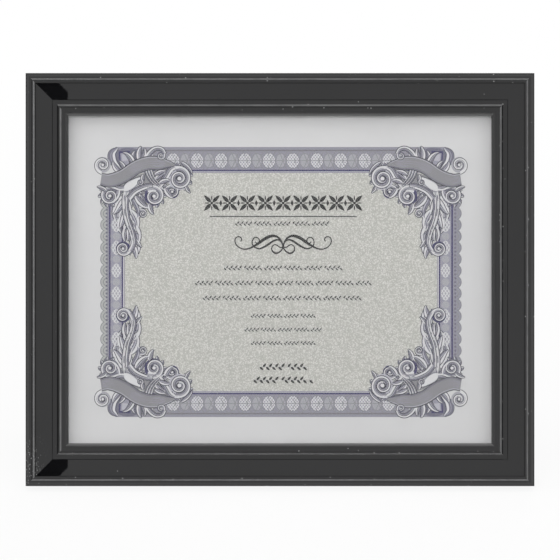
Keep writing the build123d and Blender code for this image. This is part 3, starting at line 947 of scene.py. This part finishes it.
def rosette_row(plate):
    """A row of four-leaved rosettes and lozenges, with a rule and a vine of small leaves below it."""
    middle, pitch, each_side = 50.8, 11.4, 4
    leaf_size, ray_size, eye, lozenge = (7.0, 2.3), (4.8, 0.8), 0.9, (1.0, 2.0)
    rule_level, rule_half, rule_width = 42.2, 47, 0.65
    for number in range(-each_side, each_side + 1):
        x = print_centre + number * pitch
        for turn in (45, 135, 225, 315):
            leaf = trail((x, middle), turn, leaf_size[0], unbent)
            plate.stroke("black", part(leaf, 0.12, 1), leafy(leaf_size[1]), steps=12)
        for turn in (0, 90, 180, 270):
            ray = trail((x, middle), turn, ray_size[0], unbent)
            plate.stroke("black", part(ray, 0.3, 1), swelling(ray_size[1]), steps=8)
        plate.disc("black", (x, middle), eye, segments=14, over=1)
        if number < each_side:
            plate.disc("black", (x + pitch / 2, middle), *lozenge, segments=4)
    rule = straight((print_centre - rule_half, rule_level), (print_centre + rule_half, rule_level))
    plate.stroke("soft", rule, even(rule_width), steps=1)
    laurel(plate, 37.6, 62, "soft", leaf_length=2.2, leaf_width=0.8)


def flourish(plate):
    """A divider of paired swashes that spring from the middle."""
    heart = Vector((print_centre, 23.1)) - at(0, 0)
    swashes = (
        (((0, 0.6), (-0.6, -2.2), (-2.1, -4.8), (-4.3, -6.3), (-6.5, -6.7), (-9.4, -6.0), (-12.4, -4.4),
          (-15.3, -2.2), (-18.2, -0.4), (-21.6, 1.3), (-24.9, 1.8), (-27.8, 0.9), (-30.0, -1.1),
          (-30.8, -3.4), (-30.2, -5.4), (-28.6, -6.2), (-27.0, -5.6), (-26.5, -4.2),
          (-27.2, -3.2)), 0.9),
        (((0, 0.6), (-0.8, -2.2), (-2.2, -3.8), (-4.0, -4.2), (-6.5, -3.3), (-9.4, -1.3), (-12.4, 0.5),
          (-15.3, 1.5), (-17.9, 0.7), (-19.5, -1.1), (-19.7, -3.3), (-18.6, -5.3), (-16.8, -5.7),
          (-15.3, -4.4), (-15.5, -2.7), (-16.9, -2.0), (-17.9, -3.0)), 0.42),
        (((0, -0.4), (-0.9, 2.2), (-2.8, 3.9), (-4.7, 4.4), (-6.5, 3.4), (-7.3, 1.8), (-6.8, -0.2),
          (-5.4, -1.1), (-3.9, -0.7), (-2.4, 0.4), (-0.4, 0.8)), 0.32),
    )
    for side in (-1, 1):
        for places, swell in swashes:
            spine = through(*((heart.x - side * across, down - heart.y) for across, down in places))
            width = bulging(0.72, swell * 1.4, peak=0.3, spread=0.17)
            plate.stroke("black", spine, width, steps=110)
    plate.disc("black", (print_centre, 23.0), 0.85, 1.6, segments=4)


def laurel(plate, y, length, colour, leaf_length, leaf_width):
    """A vine of small leaves, turn about above and below its stem, in sprigs of eight leaves."""
    spacing, sprig, lean_up, lean_down, stem_width = 0.62, 8, 48, -42, 0.22
    pitch = leaf_length * spacing
    count = int(length / pitch)
    start = print_centre - count * pitch / 2
    for number in range(count):
        if number % (sprig + 1) == sprig:
            continue
        lean = lean_up if number % 2 else lean_down
        leaf = trail((start + number * pitch, y), lean, leaf_length, unbent, steps=6)
        plate.stroke(colour, leaf, leafy(leaf_width), steps=6)
        stem = straight((start + number * pitch, y), (start + (number + 1) * pitch, y))
        plate.stroke("rule", stem, even(stem_width), steps=1)


def sprig_lines(plate):
    """Rows of laurel below the divider, each at its height and length."""
    for y, length in ((9.2, 77), (-0.4, 113), (-10.0, 103)):
        laurel(plate, y, length, "soft", leaf_length=2.3, leaf_width=0.85)
    for y, length in ((-21.4, 42), (-30.2, 50), (-38.8, 42)):
        laurel(plate, y, length, "soft", leaf_length=1.9, leaf_width=0.75)
    for y, length in ((-54.0, 30), (-62.4, 38)):
        laurel(plate, y, length, "black", leaf_length=3.2, leaf_width=1.35)


def middle_print():
    """The black print in the middle of the certificate."""
    plate = Plate(middle_layer)
    rosette_row(plate)
    flourish(plate)
    sprig_lines(plate)
    plate.print_on_sheet("certificate_middle")


# The small hardware on the back


def settled(piece):
    """The mesh of a piece with its modifiers or bevel applied, whose object is then removed."""
    bpy.context.view_layer.update()
    depsgraph = bpy.context.evaluated_depsgraph_get()
    data = bpy.data.meshes.new_from_object(piece.evaluated_get(depsgraph))
    bpy.data.objects.remove(piece)
    return data


def fastened(mesh, name, body, node, metal):
    """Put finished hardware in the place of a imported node."""
    piece = piece_from(mesh, name)
    for polygon in piece.data.polygons:
        polygon.use_smooth = True
    piece.data.set_sharp_from_angle(angle=radians(35))
    piece.data.materials.append(metal)
    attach(piece, body)
    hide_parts(node)


def pan_head_screw():
    """A pan-head wood screw whose head sits on the XY plane, with a crossed recess in its dome."""
    mesh = bmesh.new()
    shoulder = screw_head_radius - screw_shoulder
    profile = [(0, -screw_length), (screw_radius, screw_tip - screw_length), (screw_radius, 0)]
    profile += [(screw_head_radius, 0)]
    for turn in (0, 30, 60, 90):
        across = shoulder + screw_shoulder * cos(radians(turn))
        profile.append((across, screw_rim + screw_shoulder * sin(radians(turn))))
    crown_height = screw_head_height - screw_rim - screw_shoulder
    for share in (0.66, 0.33, 0):
        profile.append((shoulder * share, screw_head_height - crown_height * share**2))
    verts = [mesh.verts.new((across, 0, up)) for across, up in profile]
    edges = [mesh.edges.new(pair) for pair in zip(verts, verts[1:])]
    bmesh.ops.spin(
        mesh, geom=verts + edges, cent=(0, 0, 0), axis=(0, 0, 1), angle=2 * pi, steps=40, use_merge=True
    )
    bmesh.ops.remove_doubles(mesh, verts=mesh.verts, dist=0.001)
    bmesh.ops.recalc_face_normals(mesh, faces=mesh.faces)
    head = piece_from(mesh, "screw_blank")
    cross = bmesh.new()
    bmesh.ops.create_cube(cross, size=screw_slot_width)
    sides = [face for face in cross.faces if abs(face.normal.z) < 0.5]
    arms = bmesh.ops.extrude_discrete_faces(cross, faces=sides)["faces"]
    for face in arms:
        reach = face.normal * (screw_slot_reach - screw_slot_width / 2)
        bmesh.ops.translate(cross, vec=reach, verts=face.verts)
    deepen = Matrix.Diagonal((1, 1, 2 * screw_slot_depth / screw_slot_width, 1))
    rise = Matrix.Translation((0, 0, screw_head_height))
    bmesh.ops.transform(cross, matrix=rise @ deepen, verts=cross.verts)
    for vert in cross.verts:
        if vert.co.z < screw_head_height:
            vert.co.xy *= screw_slot_taper
    tool = piece_from(cross, "screw_recess")
    cut = head.modifiers.new("recess", "BOOLEAN")
    cut.operation, cut.solver, cut.object = "DIFFERENCE", "EXACT", tool
    data = settled(head)
    bpy.data.objects.remove(tool)
    return data


def turn_button_screws():
    """The six screws that the turn buttons swivel on, each driven to its own angle."""
    screw = pan_head_screw()
    packed = frame["nodes"]["turn_button_screws"].data.vertices
    top = max(face_back.dot(vert.co) for vert in packed)
    back_turn = Matrix((-face_right, face_up, face_back)).transposed().to_4x4()
    mesh = bmesh.new()
    buttons = sorted(name for name in joints if name.startswith("turn_button"))
    for number, name in enumerate(buttons):
        pivot = Vector(joints[name]["pos_m"])
        seat = pivot + face_back * (top - screw_head_height * mm - face_back.dot(pivot))
        driven = Matrix.Rotation(radians(screw_drive_angle * number), 4, "Z")
        mesh.from_mesh(screw)
        mesh.verts.ensure_lookup_table()
        place = Matrix.Translation(seat) @ back_turn @ driven @ Matrix.Scale(mm, 4)
        bmesh.ops.transform(mesh, matrix=place, verts=mesh.verts[-len(screw.vertices):])
    fastened(mesh, "crossed_screws", "root", "turn_button_screws", metals["plated"])


def ring_wire():
    """A triangle of round wire with rounded corners: its base on the X axis, its apex on Y."""
    curve = bpy.data.curves.new("ring_wire", "CURVE")
    curve.dimensions = "3D"
    curve.bevel_depth = ring_wire_radius
    curve.bevel_resolution = 6
    feet = ((ring_half_width, 0), (0, ring_height), (-ring_half_width, 0))
    corners = [Vector(corner) for corner in feet]
    places = []
    for number, corner in enumerate(corners):
        ahead = (corners[number - 2] - corner).normalized()
        behind = (corners[number - 1] - corner).normalized()
        half = behind.angle(ahead) / 2
        centre = corner + (ahead + behind).normalized() * ring_corner_radius / sin(half)
        first = corner + behind * ring_corner_radius / tan(half) - centre
        last = corner + ahead * ring_corner_radius / tan(half) - centre
        places += [centre + first.slerp(last, step / 8) for step in range(9)]
    spline = curve.splines.new("POLY")
    spline.points.add(len(places) - 1)
    for point, place in zip(spline.points, places):
        point.co = (*place, 0, 1)
    spline.use_cyclic_u = True
    piece = bpy.data.objects.new("ring_wire", curve)
    bpy.context.scene.collection.objects.link(piece)
    return settled(piece)


def hanger_rings():
    """The two wire rings: one hangs straight down, and the other straight out of the back."""
    wire = ring_wire()
    for side, apex in (("top", Vector((0, 0, -1))), ("side", face_back)):
        joint = joints[side + "_ring_swing"]
        base = Vector(joint["axis"]).normalized()
        turn = Matrix((base, apex, base.cross(apex))).transposed().to_4x4()
        mesh = bmesh.new()
        mesh.from_mesh(wire)
        place = Matrix.Translation(joint["pos_m"]) @ turn @ Matrix.Scale(mm, 4)
        bmesh.ops.transform(mesh, matrix=place, verts=mesh.verts)
        node = side + "_hanger_ring"
        fastened(mesh, side + "_wire_ring", side + "_ring", node, metals["hanger"])


# Camera, lamps and floor

camera_distance = 1.5


def camera():
    """A long lens square to the face, as in the photograph."""
    photo_width, frame_width_px = 560, 508.8
    wall_ahead, lowered = 0.005, 0.25
    data = bpy.data.cameras.new("camera")
    data.sensor_width = 36
    nearest = camera_distance - wall_ahead
    data.lens = frame_width_px * data.sensor_width * nearest / (outside_width * mm * photo_width)
    made = bpy.data.objects.new("camera", data)
    bpy.context.scene.collection.objects.link(made)
    place = frame_middle + face_front * camera_distance - face_up * lowered * mm
    made.matrix_world = Matrix.Translation(place) @ face_turn.to_4x4()
    bpy.context.scene.camera = made


def lamp(name, place, size, power, mirrored=False):
    """A soft square lamp that looks at the frame, which the gloss mirrors only where asked."""
    data = bpy.data.lights.new(name, "AREA")
    data.shape, data.size, data.energy = "SQUARE", size, power
    made = bpy.data.objects.new(name, data)
    bpy.context.scene.collection.objects.link(made)
    made.visible_glossy = mirrored
    made.location = frame_middle + face_turn @ Vector(place)
    made.rotation_mode = "QUATERNION"
    made.rotation_quaternion = (frame_middle - made.location).to_track_quat("-Z", "Y")


def seen_white(tree):
    """One for rays from the camera, off gloss and through glass."""
    path = add(tree, "LightPath").outputs
    gloss = maths(tree, "MAXIMUM", path["Is Camera Ray"], path["Is Glossy Ray"])
    return maths(tree, "MAXIMUM", gloss, path["Is Transmission Ray"])


def white_mix(tree, kind, plain, share, output):
    """White for what sees it, and the plain shader otherwise."""
    white = add(tree, kind, Color=(1, 1, 1, 1), Strength=1.0)
    both = add(tree, "MixShader", Fac=share)
    tree.links.new(plain.outputs[0], both.inputs[1])
    tree.links.new(white.outputs[0], both.inputs[2])
    tree.links.new(both.outputs[0], tree.nodes[output].inputs["Surface"])


def floor():
    """A white floor that keeps a soft shadow."""
    mesh = bmesh.new()
    bmesh.ops.create_grid(mesh, x_segments=1, y_segments=1, size=8)
    made = piece_from(mesh, "floor")
    finish, tree, shader = new_material(
        "floor", Base_Color=grey(0.9), Roughness=0.9, Specular_IOR_Level=0.1
    )
    reach = add(tree, "VectorMath", {"operation": "LENGTH"}, Vector=place_on_piece(tree))
    share = band(tree, reach.outputs["Value"], 0.3, 1.6, 0.9, 1.0)
    white_mix(tree, "Emission", shader, product(tree, seen_white(tree), share), "Material Output")
    made.data.materials.append(finish)


def dark_card():
    """A black card with cut corners beside the lens, which the moulding's left corners mirror."""
    card_across, card_width, card_height, corner_cut = -0.31, 0.08, 0.042, 0.014
    mesh = bmesh.new()
    bmesh.ops.create_grid(mesh, x_segments=1, y_segments=1, size=0.5)
    bmesh.ops.transform(mesh, matrix=Matrix.Diagonal((card_width, card_height, 1, 1)), verts=mesh.verts)
    bmesh.ops.bevel(
        mesh, geom=mesh.verts[:], offset=corner_cut, affect="VERTICES", segments=1, profile=0.5,
        material=-1,
    )
    beside_lens = Matrix.Translation((card_across, 0, camera_distance))
    place = Matrix.Translation(frame_middle) @ face_turn.to_4x4() @ beside_lens
    bmesh.ops.transform(mesh, matrix=place, verts=mesh.verts)
    made = piece_from(mesh, "dark_card")
    finish = new_material(
        "dark_card", Base_Color=grey(0.001), Roughness=1.0, Specular_IOR_Level=0.0
    )[0]
    made.data.materials.append(finish)
    made.visible_camera = False
    made.visible_diffuse = False
    made.visible_shadow = False


def studio():
    """A white floor and a pale room under plain soft lamps."""
    lamp("lamp_left", (-1.7, 0.6, 0.9), size=0.8, power=10)
    lamp("lamp_right", (1.7, 0.4, 0.8), size=0.8, power=9)
    lamp("lamp_above", (0, 1.8, 0.9), size=0.8, power=12)
    lamp("lamp_behind", (0.5, 1.0, -1.8), size=1.0, power=10, mirrored=True)
    floor()
    dark_card()
    world = bpy.data.worlds.new("world")
    bpy.context.scene.world = world
    world.use_nodes = True
    tree = world.node_tree
    room = tree.nodes["Background"]
    room.inputs["Color"].default_value = (1, 1, 1, 1)
    room.inputs["Strength"].default_value = 0.45
    white_mix(tree, "Background", room, seen_white(tree), "World Output")
    bpy.context.scene.view_settings.view_transform = "Standard"


def dress(material, *nodes):
    """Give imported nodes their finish."""
    for node in nodes:
        slots = frame["nodes"][node].data.materials
        slots.clear()
        slots.append(material)


def dress_packed_nodes():
    """The finish of every node that is shown as packed."""
    for side, shifts in crest_highlight_shifts.items():
        upright = side in ("left", "right")
        finish = black_moulding("moulding_" + side, upright, *shifts, dusty=side == "left")
        dress(finish, side + "_rail")
    dress(picture_glass(), "glass_pane")
    dress(paper("sheet_paper", (0.59, 0.59, 0.595, 1), (0.53, 0.53, 0.535, 1)), "certificate_sheet")
    card = paper("filler_card", (0.40, 0.34, 0.25, 1), (0.28, 0.23, 0.16, 1), grain=0.8)
    dress(card, "filler_card")
    leg_joint = joints["leg_fold"]
    leg_axis = Vector(leg_joint["axis"])
    leg_out = Matrix.Rotation(radians(leg_joint["range_deg"][0]), 3, leg_axis) @ face_back
    dress(board_paper("board_facing", face_back), "backing_board")
    dress(board_paper("leg_facing", leg_out), "easel_leg")
    buttons = [name for name in frame["nodes"] if name.startswith("turn_button")]
    dress(metals["plated"], "hinge_plate", "hinge_flap", *buttons)
    dress(metals["bright"], "hinge_pin", "mitre_nails")
    dress(metals["rivet"], *[name for name in frame["nodes"] if "rivet" in name])
    dress(metals["hanger"], *[name for name in frame["nodes"] if "hanger_" in name])


camera()
studio()
dress_packed_nodes()
parchment_ground()
border_bands()
corner_ornaments()
middle_print()
turn_button_screws()
hanger_rings()
